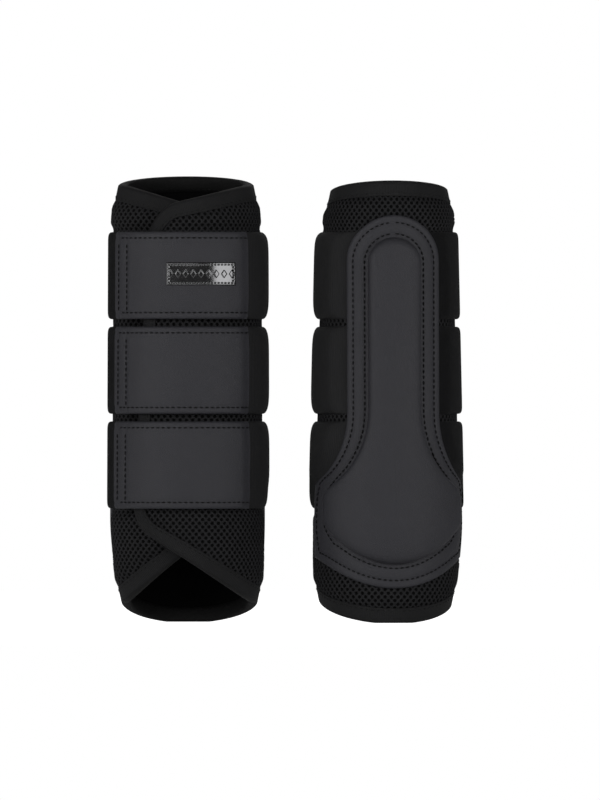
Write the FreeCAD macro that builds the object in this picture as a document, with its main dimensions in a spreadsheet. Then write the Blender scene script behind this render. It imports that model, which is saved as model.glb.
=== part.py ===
import FreeCAD, Part
import math
import os
from FreeCAD import Placement, Rotation, Vector
import Sketcher

# A pair of horse tendon boots, standing side by side, in millimetres, +Z up.
# Each boot is a padded panel wrapped into an oval tube: air mesh outside, foam core, soft
# lining, with a woven binding folded over every edge. The panel's two ends are the outer and
# the inner flap. The outer flap laps over the inner one, and three wide hook-and-loop straps
# cross both. A moulded strike pad is sewn on the side opposite the flaps.
# In its own frame a boot has the straps towards -Y, the strike pad towards +Y, the fold of the
# outer flap and the straps at +X, and the loop tape that the straps close on at -X.

doc = FreeCAD.newDocument("TendonBoots")
sheet = doc.addObject("Spreadsheet::Sheet", "Dimensions")

DIMENSIONS = [
    # the padded panel, from its outer face inwards
    ("mesh_thick", 1.6, "air mesh"),
    ("foam_thick", 1.8, "foam core"),
    ("lining_thick", 1.0, "lining"),
    ("layer_gap", 0.1, "between glued or sewn layers"),
    ("binding_width", 7.5, "of the binding that shows on each face"),
    ("binding_thick", 0.5, "woven binding tape"),
    ("fold_gap", 0.3, "from a fold line to the panel on either side"),
    ("flap_tuck", 12.5, "how far the inner flap is drawn in at the front"),
    # the panel's edges: heights at the side are at the fold lines
    ("top_drop", 5.3, "top edge, from the pad side to the fold lines"),
    ("bottom_rise", 13.0, "bottom edge, from the pad side to the fold lines"),
    ("outline_reach", 56.0, "outlines run past the tube to here"),
    ("shell_overlap", 14.0, "the shell's outline runs past the fold lines to here"),
    ("outer_top_run", 2.8, "top edge drop of the outer flap at the reach"),
    ("outer_top_drop", 19.0, "drop of its top corner"),
    ("outer_top_reach", 21.5, "its top corner, past the boot's middle"),
    ("outer_low_reach", 31.0, "its bottom corner, past the middle"),
    ("outer_low_height", 55.6, "height of its bottom corner"),
    ("outer_low_run", 6.2, "height of its bottom edge at the reach"),
    ("inner_top_run", 2.2, "top edge drop of the inner flap at the reach"),
    ("inner_top_drop", 20.5, "drop of its top corner"),
    ("inner_reach", 14.0, "its corners, past the middle"),
    ("inner_low_height", 52.0, "height of its bottom corner"),
    ("inner_low_run", 5.0, "height of its bottom edge at the reach"),
    ("flap_corner_radius", 21.0, "all four flap corners"),
    # straps, from the panel's outer face outwards
    ("strap_width", 51.0, "height of each strap band"),
    ("strap_low_centre", 92.0, "height of the bottom strap's centre line"),
    ("strap_pitch", 55.4, "between centre lines"),
    ("tape_base", 0.3, "clearance under tapes and elastic"),
    ("loop_thick", 1.1, "loop tape"),
    ("hook_base", 1.7, "inner face of the hook tape"),
    ("hook_thick", 0.8, "hook tape"),
    ("elastic_base", 2.6, "inner face of the strap's elastic"),
    ("elastic_thick", 1.3, "elastic under the cover"),
    ("side_elastic_thick", 2.0, "elastic at the side fold"),
    ("cover_base", 4.0, "inner face of the strap cover"),
    ("cover_thick", 1.5, "coated strap cover"),
    # places round the boot, as angles in degrees from +X
    ("anchor_start", 3.0, "elastic behind the fold line"),
    ("anchor_span", 50.0, "elastic from there to the pad"),
    ("fold_elastic_start", 1.0, "elastic on the outer flap, past the fold line"),
    ("fold_elastic_span", 11.0, "elastic from there towards the strap"),
    ("strap_start", 13.0, "strap's own hinge line"),
    ("strap_span", 139.0, "from its hinge line to its end"),
    ("cover_start", 40.0, "where the cover begins"),
    ("hook_start", 124.0, "where the hook tape begins"),
    ("loop_side", 3.0, "loop tape from the fold line"),
    ("loop_flap_span", 27.0, "loop tape on the inner flap, up to the outer flap"),
    ("loop_shell_span", 50.0, "loop tape on the shell"),
    # strike pad
    ("pad_base", 0.2, "clearance under the pad's flange"),
    ("pad_flange_thick", 1.5, "sewn flange"),
    ("pad_height", 8.2, "top of the raised pad above the panel"),
    ("pad_skin", 1.1, "cover over the raised pad"),
    ("pad_side_clear", 3.5, "flange kept back from the fold lines"),
    ("pad_clear", 0.3, "round the flange and the inserts"),
    ("plate_thick", 2.0, "hard strike plate"),
    ("flange_half_width", 26.5, "upper flange"),
    ("flange_top", 238.0, "height of its top"),
    ("flange_flare_start", 122.0, "height where it starts to widen"),
    ("flange_flare_radius", 62.0, "hollow side curve"),
    ("flange_side", 52.0, "half width there, past the tube"),
    ("flange_low_side", 49.5, "height where the side ends"),
    ("flange_bottom", 20.0, "height of the lowest point"),
    ("raised_half_width", 16.0, "upper raised pad"),
    ("raised_top", 225.0, "height of its top"),
    ("raised_flare_start", 124.0, "height where it starts to widen"),
    ("raised_flare_radius", 62.0, "hollow side curve"),
    ("raised_side", 37.0, "half width there"),
    ("raised_low_side", 57.0, "height where the side ends"),
    ("raised_bottom", 34.0, "height of the lowest point"),
    # metal badge on the top strap
    ("badge_width", 40.0, "along the strap"),
    ("badge_height", 13.5, "across the strap"),
    ("badge_offset", 8.0, "from the boot's middle towards the fold"),
    ("badge_thick", 0.9, "sheet metal"),
    ("prong_radius", 0.8, "prong through the strap cover"),
    ("prong_inset", 4.0, "from the badge's ends"),
    ("prong_clear", 0.1, "round each prong"),
    # the two boots: half widths of the tube and where each stands
    ("left_height", 260.0, "left boot, from bottom to top"),
    ("left_top_half_x", 43.3, "half width at the top"),
    ("left_top_half_y", 38.2, "half depth at the top"),
    ("left_low_half_x", 44.3, "half width at the bottom"),
    ("left_low_half_y", 43.2, "half depth at the bottom"),
    ("left_x", -58.3, "place of the boot's axis"),
    ("left_y", 0.0, "place of the boot's axis"),
    ("left_turn", 0.0, "degrees about Z"),
    ("right_height", 257.0, "right boot"),
    ("right_top_half_x", 37.8, "half width at the top"),
    ("right_top_half_y", 37.2, "half depth at the top"),
    ("right_low_half_x", 43.7, "half width at the bottom"),
    ("right_low_half_y", 43.2, "half depth at the bottom"),
    ("right_x", 58.7, "place of the boot's axis"),
    ("right_y", 0.0, "place of the boot's axis"),
    ("right_turn", 186.0, "degrees about Z"),
    # construction
    ("section_margin", 6.0, "tube sections lie this far past the ends"),
    ("cut_depth", 80.0, "length of every cutting prism"),
]


class Size:
    """A length with its number and the spreadsheet expression that gives it."""

    def __init__(self, value, text):
        self.value = float(value)
        self.text = text

    def join(self, sign, other, value):
        text = other.text if isinstance(other, Size) else repr(float(other))
        return Size(value, f"({self.text} {sign} {text})")

    def __add__(self, other):
        return self.join("+", other, self.value + number(other))

    def __sub__(self, other):
        return self.join("-", other, self.value - number(other))

    def __mul__(self, other):
        return self.join("*", other, self.value * number(other))

    def __truediv__(self, other):
        return self.join("/", other, self.value / number(other))

    def __neg__(self):
        return self * -1


def root(size):
    return Size(math.sqrt(size.value), f"sqrt({size.text})")


def number(value):
    return value.value if isinstance(value, Size) else float(value)


def fill_sheet():
    """Writes each dimension into the sheet with its alias, and returns them by name."""
    sizes = {}
    for row, (alias, value, note) in enumerate(DIMENSIONS, start=1):
        sheet.set(f"A{row}", alias)
        sheet.set(f"B{row}", str(value))
        sheet.set(f"C{row}", note)
        sheet.setAlias(f"B{row}", alias)
        sizes[alias] = Size(value, f"Dimensions.{alias}")
    doc.recompute()
    return sizes


D = fill_sheet()
ZERO = Size(0.0, "0")
HALF_TURN = Size(180.0, "180")


def bind(obj, **properties):
    """Ties properties to sizes. A dot in a property's name is written as two underscores."""
    for name, size in properties.items():
        obj.setExpression(name.replace("__", "."), size.text)


# ---------------------------------------------------------------- outlines and prisms

FRONT_PLANE = Rotation(Vector(1, 0, 0), 90)  # sketch x along +X, sketch y along +Z
SIDE_PLANE = Rotation(Vector(1, 1, 1), 120)  # sketch x along +Y, sketch y along +Z


def arc_between(start, end, radius, bulge):
    """The circular arc from start to end. bulge is +1 where it lies left of the chord."""
    a = Vector(number(start[0]), number(start[1]), 0)
    b = Vector(number(end[0]), number(end[1]), 0)
    chord = b - a
    half = chord.Length / 2
    left = Vector(-chord.y, chord.x, 0).normalize()
    reach = math.sqrt(max(number(radius) ** 2 - half**2, 0.0))
    middle = (a + b) * 0.5 + left * bulge * (number(radius) - reach)
    # a sketch wants every arc anticlockwise
    return Part.Arc(b, middle, a) if bulge > 0 else Part.Arc(a, middle, b)


def outline(name, plane, corners, offset=ZERO):
    """A closed sketch through corners. Each corner is (x, y) or (x, y, radius, bulge): then
    an arc of that radius runs from it to the next corner. Every corner is dimensioned."""
    sketch = doc.addObject("Sketcher::SketchObject", name)
    base = Vector(0, number(offset), 0) if plane == FRONT_PLANE else Vector(0, 0, 0)
    sketch.Placement = Placement(base, plane)
    for i, corner in enumerate(corners):
        following = corners[(i + 1) % len(corners)]
        if len(corner) == 4:
            sketch.addGeometry(arc_between(corner, following, corner[2], corner[3]))
        else:
            ends = [Vector(number(c[0]), number(c[1]), 0) for c in (corner, following)]
            sketch.addGeometry(Part.LineSegment(*ends))
    starts = []
    for i, corner in enumerate(corners):
        # a clockwise arc was turned round, so its first point here is its point 2
        arc = sketch.Geometry[i]
        at = Vector(number(corner[0]), number(corner[1]), 0)
        starts.append(1 if arc.StartPoint.distanceToPoint(at) < 1e-6 else 2)
    rules, sizes = [], []
    for i, corner in enumerate(corners):
        j = (i + 1) % len(corners)
        rules.append(Sketcher.Constraint("Coincident", i, 3 - starts[i], j, starts[j]))
        sizes.append(None)
        for kind, size in (("DistanceX", corner[0]), ("DistanceY", corner[1])):
            rules.append(Sketcher.Constraint(kind, -1, 1, i, starts[i], number(size)))
            sizes.append(size)
        if len(corner) == 4:
            rules.append(Sketcher.Constraint("Radius", i, number(corner[2])))
            sizes.append(corner[2])
    sketch.addConstraint(rules)
    for made, size in enumerate(sizes):
        if size is not None:
            sketch.setExpression(f"Constraints[{made}]", size.text)
    return sketch


def grown(source, name, amount):
    """The outline moved outwards by amount, or inwards where amount is below zero."""
    moved = doc.addObject("Part::Offset2D", name)
    moved.Source = source
    moved.Join = "Intersection"
    bind(moved, Value=amount)
    return moved


def prism(source, name, direction, both_ways=False):
    """A solid from an outline, along direction."""
    made = doc.addObject("Part::Extrusion", name)
    made.Base = source
    made.DirMode = "Custom"
    made.Dir = direction
    made.Solid = True
    bind(made, LengthFwd=D["cut_depth"])
    if both_ways:
        bind(made, LengthRev=D["cut_depth"])
    return made


def common(name, base, tool):
    made = doc.addObject("Part::Common", name)
    made.Base = base
    made.Tool = tool
    return made


def cut(name, base, tool):
    made = doc.addObject("Part::Cut", name)
    made.Base = base
    made.Tool = tool
    return made


def together(name, shapes, kind="Part::MultiFuse"):
    made = doc.addObject(kind, name)
    made.Shapes = shapes
    return made


class Boot:
    """One boot's tube, its shared tools and its finished sub-parts."""

    def __init__(self, side):
        self.side = side
        self.height = D[f"{side}_height"]
        self.tubes = {}
        self.walls = {}
        self.parts = []

    def name(self, piece):
        return f"{self.side}_{piece}"

    def tube(self, grow, tuck=ZERO):
        """The solid oval tube, grown by grow all round and drawn in by tuck along Y."""
        key = (round(number(grow), 4), round(number(tuck), 4))
        if key in self.tubes:
            return self.tubes[key]
        margin = D["section_margin"]
        rings = []
        for end, level in (("low", -margin), ("top", self.height + margin)):
            ring = doc.addObject("Part::Ellipse", self.name(f"{end}_ring"))
            half_x = D[f"{self.side}_{end}_half_x"] + grow
            half_y = D[f"{self.side}_{end}_half_y"] + grow - tuck
            bind(ring, MajorRadius=half_x, MinorRadius=half_y, Placement__Base__z=level)
            rings.append(ring)
        made = doc.addObject("Part::Loft", self.name("tube"))
        made.Sections = rings
        made.Solid = True
        made.Ruled = True
        self.tubes[key] = made
        return made

    def wall(self, inner, outer, tuck=ZERO):
        """The layer of the tube between two distances from the panel's outer face."""
        key = (round(number(inner), 4), round(number(outer), 4), round(number(tuck), 4))
        if key not in self.walls:
            self.walls[key] = cut(
                self.name("wall"), self.tube(outer, tuck), self.tube(inner, tuck)
            )
        return self.walls[key]

    def slices(self, name, start, span, bands):
        """Pie slices round the boot's axis: bands is a list of (low height, height)."""
        made = []
        for low, tall in bands:
            piece = doc.addObject("Part::Cylinder", self.name(name))
            piece.Placement.Rotation = Rotation(Vector(0, 0, 1), number(start))
            bind(
                piece,
                Radius=D["cut_depth"],
                Height=tall,
                Angle=span,
                Placement__Base__z=low,
                Placement__Rotation__Angle=start,
            )
            made.append(piece)
        return together(self.name(f"{name}_set"), made) if len(made) > 1 else made[0]

    def finish(self, obj, piece):
        """Names a sub-part, puts it where the boot stands and keeps it for export."""
        obj.Label = self.name(piece)
        obj.Placement = Placement(
            Vector(number(D[f"{self.side}_x"]), number(D[f"{self.side}_y"]), 0),
            Rotation(Vector(0, 0, 1), number(D[f"{self.side}_turn"])),
        )
        bind(
            obj,
            Placement__Base__x=D[f"{self.side}_x"],
            Placement__Base__y=D[f"{self.side}_y"],
            Placement__Rotation__Angle=D[f"{self.side}_turn"],
        )
        self.parts.append(obj)
        return obj


# ---------------------------------------------------------------- the padded panel


def rounded_corner(before, corner, after, radius):
    """The two ends of a rounded corner, as sizes that stay tied to the corner's own."""
    c = Vector(number(corner[0]), number(corner[1]), 0)
    a = (Vector(number(before[0]), number(before[1]), 0) - c).normalize()
    b = (Vector(number(after[0]), number(after[1]), 0) - c).normalize()
    share = 1 / math.tan(a.getAngle(b) / 2)
    turn = 1 if a.cross(b).z < 0 else -1
    start = (corner[0] + radius * (share * a.x), corner[1] + radius * (share * a.y))
    end = (corner[0] + radius * (share * b.x), corner[1] + radius * (share * b.y))
    return (*start, radius, -turn), end


def flap_outline(boot, name, direction, reach, heights):
    """A flap seen from the front. It hangs from the fold line and has two rounded corners."""
    far = D["outline_reach"] * direction
    top_side, top_corner, low_corner, low_side = heights
    top = (reach[0] * -direction, top_corner)
    low = (reach[1] * -direction, low_corner)
    radius = D["flap_corner_radius"]
    first, second = (far, top_side), (far, low_side)
    corners = [
        first,
        *rounded_corner(first, top, low, radius),
        *rounded_corner(top, low, second, radius),
        second,
    ]
    return outline(boot.name(name), FRONT_PLANE, corners, -D["fold_gap"])


def shell_outline(boot):
    """The pad side seen from the side: both edges slope from the middle to the fold lines."""
    back = D["outline_reach"]
    depth = D[f"{boot.side}_low_half_y"]
    overlap = D["shell_overlap"]
    slope_share = (overlap + depth) / depth
    corners = [
        (-overlap, boot.height - D["top_drop"] * slope_share),
        (-overlap, D["bottom_rise"] * slope_share),
        (depth, ZERO),
        (back, ZERO),
        (back, boot.height),
        (depth, boot.height),
    ]
    return outline(boot.name("shell_outline"), SIDE_PLANE, corners)


def panel(boot, label, source, direction, both_ways=False, limit=None, tuck=ZERO):
    """Mesh, foam, lining and binding for one outline of the padded panel."""
    gap = D["layer_gap"]
    tape = D["binding_thick"]
    mesh_in = -D["mesh_thick"]
    foam_out = mesh_in - gap
    foam_in = foam_out - D["foam_thick"]
    lining_out = foam_in - gap
    lining_in = lining_out - D["lining_thick"]

    def region(name, shape):
        return prism(shape, boot.name(f"{label}_{name}_prism"), direction, both_ways)

    def smaller(name, inset):
        return region(name, grown(source, boot.name(f"{label}_{name}_edge"), -inset))

    def limited(name, solid):
        if limit is None:
            return solid
        return common(boot.name(f"{label}_{name}_region"), solid, limit)

    whole = limited("whole", region("whole", source))
    cloth = limited("cloth", smaller("cloth", tape + gap))
    slot = smaller("slot", tape)
    inside = smaller("inside", D["binding_width"])
    layers = (
        ("mesh", mesh_in, ZERO),
        ("foam", foam_in, foam_out),
        ("lining", lining_in, lining_out),
    )
    for layer, inner, outer in layers:
        piece = common(boot.name(f"{label}_{layer}_solid"), boot.wall(inner, outer, tuck), cloth)
        boot.finish(piece, f"{label}_{layer}")
    folded = common(
        boot.name(f"{label}_fold"),
        boot.wall(lining_in - gap - tape, gap + tape, tuck),
        whole,
    )
    hollow = common(
        boot.name(f"{label}_hollow"), boot.wall(lining_in - gap, gap, tuck), slot
    )
    edge = cut(boot.name(f"{label}_tape"), folded, hollow)
    boot.finish(cut(boot.name(f"{label}_tape_open"), edge, inside), f"{label}_binding")


def half_space(boot):
    """The pad side of the boot, behind the two fold lines."""
    made = doc.addObject("Part::Box", boot.name("pad_side"))
    depth = D["cut_depth"]
    margin = D["section_margin"]
    bind(
        made,
        Length=depth * 2,
        Width=depth,
        Height=boot.height + margin * 2,
        Placement__Base__x=-depth,
        Placement__Base__y=D["fold_gap"],
        Placement__Base__z=-margin,
    )
    return made


def padded_panel(boot):
    top = boot.height
    outer = flap_outline(
        boot,
        "outer_flap_outline",
        1,
        (D["outer_top_reach"], D["outer_low_reach"]),
        (
            top - D["outer_top_run"],
            top - D["outer_top_drop"],
            D["outer_low_height"],
            D["outer_low_run"],
        ),
    )
    inner = flap_outline(
        boot,
        "inner_flap_outline",
        -1,
        (D["inner_reach"], D["inner_reach"]),
        (
            top - D["inner_top_run"],
            top - D["inner_top_drop"],
            D["inner_low_height"],
            D["inner_low_run"],
        ),
    )
    panel(boot, "shell", shell_outline(boot), Vector(1, 0, 0), True, half_space(boot))
    panel(boot, "outer_flap", outer, Vector(0, -1, 0))
    panel(boot, "inner_flap", inner, Vector(0, -1, 0), tuck=D["flap_tuck"])


# ---------------------------------------------------------------- the strike pad


def pad_prism(boot, kind, inset=ZERO):
    """A tall rounded column that flares into a wide round foot, seen from the pad side."""
    half, top = D[f"{kind}_half_width"] - inset, D[f"{kind}_top"] - inset
    flare, flare_radius = D[f"{kind}_flare_start"], D[f"{kind}_flare_radius"] + inset
    side, low_side = D[f"{kind}_side"] - inset, D[f"{kind}_low_side"]
    across = half + flare_radius - side
    flare_end = flare - root(flare_radius * flare_radius - across * across)
    sag = low_side - D[f"{kind}_bottom"] - inset
    bottom_radius = (side * side + sag * sag) / (sag * 2)
    corners = [
        (-half, top - half),
        (-half, flare, flare_radius, 1),
        (-side, flare_end),
        (-side, low_side, bottom_radius, -1),
        (side, low_side),
        (side, flare_end, flare_radius, 1),
        (half, flare),
        (half, top - half, half, -1),
        (ZERO, top, half, -1),
    ]
    edge = outline(boot.name(f"{kind}_outline"), FRONT_PLANE, corners, D["pad_side_clear"])
    return prism(edge, boot.name(f"{kind}_prism"), Vector(0, 1, 0))


def strike_pad(boot):
    """The cover is one cap with a sewn flange. A hard plate and foam lie under the cap."""
    base, high = D["pad_base"], D["pad_height"]
    flange_prism = pad_prism(boot, "flange")
    raised_prism = pad_prism(boot, "raised")
    hollow_prism = pad_prism(boot, "raised", D["pad_skin"])
    insert_prism = pad_prism(boot, "raised", D["pad_skin"] + D["pad_clear"])

    flange_wall = boot.wall(base, base + D["pad_flange_thick"])
    flange = common(boot.name("flange"), flange_wall, flange_prism)
    raised_wall = boot.wall(base + D["pad_flange_thick"] * 0.5, high)
    raised = common(boot.name("raised"), raised_wall, raised_prism)
    cap = together(boot.name("cap"), [flange, raised])
    hollow_wall = boot.wall(ZERO, high - D["pad_skin"])
    hollow = common(boot.name("hollow"), hollow_wall, hollow_prism)
    cover = cut(boot.name("cap_open"), cap, hollow)
    boot.finish(cover, "strike_pad_cover")

    plate_in = D["pad_clear"]
    plate_out = plate_in + D["plate_thick"]
    foam_out = high - D["pad_skin"] - D["layer_gap"]
    plate = common(boot.name("plate"), boot.wall(plate_in, plate_out), insert_prism)
    boot.finish(plate, "strike_pad_plate")
    foam_wall = boot.wall(plate_out + D["layer_gap"], foam_out)
    boot.finish(common(boot.name("pad_foam"), foam_wall, insert_prism), "strike_pad_foam")

    return pad_prism(boot, "flange", -D["pad_clear"])


# ---------------------------------------------------------------- straps and tapes

STRAPS = (("bottom", 0), ("middle", 1), ("top", 2))


def band(step):
    """(low height, height) of a strap."""
    centre = D["strap_low_centre"] + D["strap_pitch"] * step
    return centre - D["strap_width"] * 0.5, D["strap_width"]


def side_tapes(boot, pad_clear):
    """The tapes and elastics that are sewn to the panel, three alike in each node."""
    bands = [band(step) for _, step in STRAPS]
    base = D["tape_base"]
    loop_wall = (base, base + D["loop_thick"])
    elastic_wall = boot.wall(base, base + D["side_elastic_thick"])

    anchors = boot.slices("anchor", D["anchor_start"], D["anchor_span"], bands)
    whole = common(boot.name("anchor_bands"), elastic_wall, anchors)
    boot.finish(cut(boot.name("anchors"), whole, pad_clear), "elastic_anchors")

    fold_start = -(D["fold_elastic_start"] + D["fold_elastic_span"])
    folds = boot.slices("fold_band", fold_start, D["fold_elastic_span"], bands)
    boot.finish(common(boot.name("fold_bands"), elastic_wall, folds), "elastic_folds")

    shell_start = HALF_TURN - D["loop_side"] - D["loop_shell_span"]
    shell_loops = boot.slices("loop_shell", shell_start, D["loop_shell_span"], bands)
    whole = common(boot.name("loop_shell_bands"), boot.wall(*loop_wall), shell_loops)
    boot.finish(cut(boot.name("loops_on_shell"), whole, pad_clear), "loop_tape_shell")

    flap_start = HALF_TURN + D["loop_side"]
    flap_loops = boot.slices("loop_flap", flap_start, D["loop_flap_span"], bands)
    tucked = boot.wall(*loop_wall, D["flap_tuck"])
    boot.finish(common(boot.name("loops_on_flap"), tucked, flap_loops), "loop_tape_flap")


def badge(boot, cover):
    """A bent metal badge on the top strap, held by two prongs through the cover."""
    middle = D["badge_offset"]
    centre = D["strap_low_centre"] + D["strap_pitch"] * 2
    half_long, half_tall = D["badge_width"] * 0.5, D["badge_height"] * 0.5
    corners = [
        (middle - half_long, centre - half_tall),
        (middle + half_long, centre - half_tall),
        (middle + half_long, centre + half_tall),
        (middle - half_long, centre + half_tall),
    ]
    edge = outline(boot.name("badge_outline"), FRONT_PLANE, corners, -D["fold_gap"])
    face = D["cover_base"] + D["cover_thick"] + D["layer_gap"]
    solid = prism(edge, boot.name("badge_prism"), Vector(0, -1, 0))
    sheet_metal = boot.wall(face, face + D["badge_thick"])
    plate = common(boot.name("badge_plate"), sheet_metal, solid)
    prongs, holes = [], []
    for sign in (-1, 1):
        for made, clear in ((prongs, ZERO), (holes, D["prong_clear"])):
            rod = doc.addObject("Part::Cylinder", boot.name("prong"))
            rod.Placement.Rotation = Rotation(Vector(1, 0, 0), 90)
            bind(
                rod,
                Radius=D["prong_radius"] + clear,
                Height=D["cut_depth"],
                Placement__Base__x=middle + (half_long - D["prong_inset"]) * sign,
                Placement__Base__z=centre,
            )
            made.append(rod)
    prong_wall = boot.wall(D["cover_base"] + D["layer_gap"], face + D["layer_gap"])
    pins = common(boot.name("pins"), prong_wall, together(boot.name("rods"), prongs))
    boot.finish(together(boot.name("badge_solid"), [plate, pins]), "badge")
    return cut(boot.name("cover_pierced"), cover, together(boot.name("holes"), holes))


def strap(boot, name, step):
    """Elastic the whole length, a coated cover outside and hook tape inside its free end."""
    bands = [band(step)]
    end = D["strap_start"] + D["strap_span"]
    elastic_wall = boot.wall(D["elastic_base"], D["elastic_base"] + D["elastic_thick"])
    cover_wall = boot.wall(D["cover_base"], D["cover_base"] + D["cover_thick"])
    hook_wall = boot.wall(D["hook_base"], D["hook_base"] + D["hook_thick"])
    elastic = boot.slices(f"{name}_elastic", -end, D["strap_span"], bands)
    boot.finish(
        common(boot.name(f"{name}_elastic_band"), elastic_wall, elastic),
        f"strap_{name}_elastic",
    )
    hooks = boot.slices(f"{name}_hook", -end, end - D["hook_start"], bands)
    boot.finish(common(boot.name(f"{name}_hook_band"), hook_wall, hooks), f"strap_{name}_hook")
    covers = boot.slices(f"{name}_cover", -end, end - D["cover_start"], bands)
    cover = common(boot.name(f"{name}_cover_band"), cover_wall, covers)
    if name == "top":
        cover = badge(boot, cover)
    boot.finish(cover, f"strap_{name}_cover")


# ---------------------------------------------------------------- build, check and write


def build_boot(side):
    boot = Boot(side)
    padded_panel(boot)
    pad_clear = strike_pad(boot)
    side_tapes(boot, pad_clear)
    for name, step in STRAPS:
        strap(boot, name, step)
    return boot


def check_document():
    failed = [obj.Label for obj in doc.Objects if {"Invalid", "Error"} & set(obj.State)]
    if failed:
        raise RuntimeError(f"failed to compute: {failed}")


def write_parts(boots):
    os.makedirs("parts", exist_ok=True)
    for boot in boots:
        for obj in boot.parts:
            shape = obj.Shape
            if shape.isNull() or not shape.isValid() or not shape.Solids:
                raise RuntimeError(f"{obj.Label} has no valid solid")
            shape.exportStep(f"parts/{obj.Label}.step")
            print(f"{obj.Label}: {len(shape.Solids)} solids, {shape.Volume:.0f} mm3")


pair = [build_boot("left"), build_boot("right")]
doc.recompute()
check_document()
write_parts(pair)
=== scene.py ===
import math

import bmesh
import bpy
import numpy as np
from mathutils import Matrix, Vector


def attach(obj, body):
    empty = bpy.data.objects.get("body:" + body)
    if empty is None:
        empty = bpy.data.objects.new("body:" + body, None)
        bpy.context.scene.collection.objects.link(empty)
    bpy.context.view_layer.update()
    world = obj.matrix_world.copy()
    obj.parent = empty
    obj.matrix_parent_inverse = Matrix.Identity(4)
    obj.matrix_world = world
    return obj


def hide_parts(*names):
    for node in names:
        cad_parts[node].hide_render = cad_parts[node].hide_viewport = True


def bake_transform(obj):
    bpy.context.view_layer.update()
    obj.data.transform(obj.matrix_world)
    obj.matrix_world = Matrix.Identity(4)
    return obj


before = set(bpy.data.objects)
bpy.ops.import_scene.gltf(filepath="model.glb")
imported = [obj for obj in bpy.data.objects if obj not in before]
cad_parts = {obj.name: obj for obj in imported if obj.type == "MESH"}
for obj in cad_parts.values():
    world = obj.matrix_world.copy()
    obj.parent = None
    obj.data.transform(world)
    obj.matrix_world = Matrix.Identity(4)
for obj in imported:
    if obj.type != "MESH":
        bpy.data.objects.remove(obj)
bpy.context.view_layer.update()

# ------------------------------------------------------------------ studio
# A glowing white floor and soft boxes: two tall ones in front, left and right, a wide one
# higher up between them, and weak ones overhead and behind. The camera stands far off with
# a long lens, level with the middle of the boots.

scene = bpy.context.scene
scene.view_settings.view_transform = "Standard"
scene.view_settings.look = "None"

SENSOR_HEIGHT = 24.0
CAMERA_DISTANCE = 12.0
VIEW_HEIGHT = 0.4685
BOOT_MIDDLE = (0, 0, 0.13)

camera_data = bpy.data.cameras.new("long_lens")
camera_data.sensor_fit = "VERTICAL"
camera_data.sensor_height = SENSOR_HEIGHT
camera_data.lens = SENSOR_HEIGHT * CAMERA_DISTANCE / VIEW_HEIGHT
camera_data.clip_end = 50
camera = bpy.data.objects.new("camera", camera_data)
scene.collection.objects.link(camera)
camera.location = (0.0076, -CAMERA_DISTANCE, 0.130)
camera.rotation_euler = (math.radians(90), 0, 0)
scene.camera = camera


def soft_box(name, place, width, height, watts):
    """A rectangular area light at place, turned so that its face looks at the boots."""
    light = bpy.data.lights.new(name, "AREA")
    light.shape = "RECTANGLE"
    light.size = width
    light.size_y = height
    light.energy = watts
    made = bpy.data.objects.new(name, light)
    made.location = place
    aim = Vector(BOOT_MIDDLE) - Vector(place)
    made.rotation_euler = aim.to_track_quat("-Z", "Y").to_euler()
    scene.collection.objects.link(made)
    return made


soft_box("front_left", (-1.30, -1.05, 0.25), 0.9, 1.3, 14)
soft_box("front_right", (1.20, -1.20, 0.25), 0.8, 1.3, 13)
soft_box("front_high", (-0.3, -2.5, 0.95), 1.6, 0.5, 9)
soft_box("overhead", (0, 0.3, 1.5), 1.6, 0.8, 1.0)
soft_box("behind", (0, 1.7, 0.9), 1.6, 1.0, 3)


def seen_and_lit(tree, seen, lit, strength):
    """Gives a strength socket one value for the camera and another for the light it casts."""
    path = tree.nodes.new("ShaderNodeLightPath")
    level = tree.nodes.new("ShaderNodeMapRange")
    level.inputs["To Min"].default_value = lit
    level.inputs["To Max"].default_value = seen
    tree.links.new(path.outputs["Is Camera Ray"], level.inputs["Value"])
    tree.links.new(level.outputs["Result"], strength)


world = bpy.data.worlds.new("studio")
scene.world = world
world.use_nodes = True
background = world.node_tree.nodes["Background"]
background.inputs["Color"].default_value = (1, 1, 1, 1)
seen_and_lit(world.node_tree, 1.0, 0.11, background.inputs["Strength"])

bpy.ops.mesh.primitive_plane_add(size=3.0, location=(0, 0.4, -0.0002))
floor = bpy.context.object
floor.name = "floor"
paper = bpy.data.materials.new("white_paper")
paper.use_nodes = True
shade = paper.node_tree.nodes["Principled BSDF"]
shade.inputs["Base Color"].default_value = (0.9, 0.9, 0.9, 1)
shade.inputs["Roughness"].default_value = 0.9
shade.inputs["Emission Color"].default_value = (1, 1, 1, 1)
seen_and_lit(paper.node_tree, 1.0, 0.1, shade.inputs["Emission Strength"])
floor.data.materials.append(paper)

# ------------------------------------------------------------------ padded panel
# Each boot is one padded panel wrapped into an oval tube. A warp-knitted air mesh with
# diamond holes faces out and a smooth knitted lining faces the leg, with foam between them.
# The panel is made in two halves that meet under the strike pad. The first half runs round
# to the outer flap and the second to the inner flap, which tucks in behind the outer one.

PANEL_THICK = 0.0047
TUCK = 0.0125
EDGE_DROP_TOP = 0.0053
EDGE_RISE_LOW = 0.013
CORNER_RADIUS = 0.021
HOLE_PITCH = 0.00375
HOLE_ROW = 0.00215
HOLE_DEPTH = 0.0015
SWELL_HEIGHT = 0.0013
SWELL_WAVES = 0.00035
EDGE_LEAN = 0.0022

BOOTS = {
    "left": {
        "x": -0.0583,
        "turn": 0.0,
        "height": 0.260,
        "low": (0.0443, 0.0432),
        "top": (0.0433, 0.0382),
    },
    "right": {
        "x": 0.0587,
        "turn": math.radians(186),
        "height": 0.257,
        "low": (0.0437, 0.0432),
        "top": (0.0378, 0.0372),
    },
}
SECTION_MARGIN = 0.006


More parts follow.
